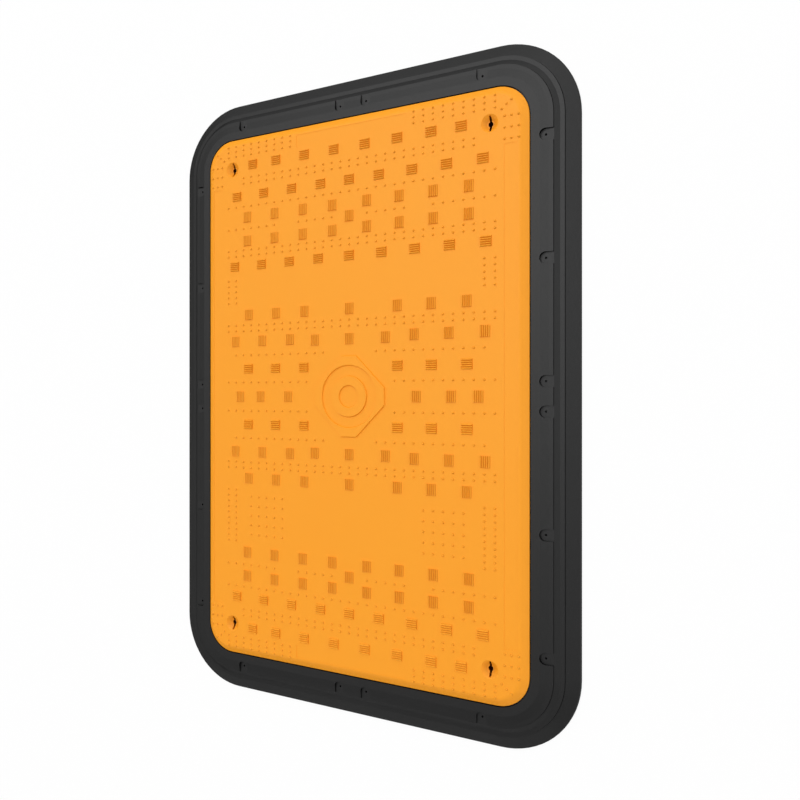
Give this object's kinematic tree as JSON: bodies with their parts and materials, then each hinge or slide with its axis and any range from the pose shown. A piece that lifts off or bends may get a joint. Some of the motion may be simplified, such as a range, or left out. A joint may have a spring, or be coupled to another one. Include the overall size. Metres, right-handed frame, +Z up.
{
  "type": "trench cover",
  "caption": "Portable footway trench cover: hollow moulded deck with tread blocks, steel bars inside and a ramped rubber rim.",
  "frame": {"origin": "middle of the board's footprint, on the ground it lies on", "axes": "+Z up out of the walking face, +Y along the board's length, +X across it"},
  "size_m": [0.841, 1.203, 0.0412],
  "materials": {
    "deck": "moulded, lightly grained",
    "rim": "moulded rubber, dull",
    "bar": "galvanised tube"
  },
  "bodies": {
    "root": {"deck": "deck", "rim": "rim", "bar_1": "bar", "bar_2": "bar", "bar_3": "bar", "bar_4": "bar", "bar_5": "bar", "bar_6": "bar", "bar_7": "bar", "bar_8": "bar", "bar_9": "bar", "bar_10": "bar", "bar_11": "bar"}
  },
  "joints": []
}
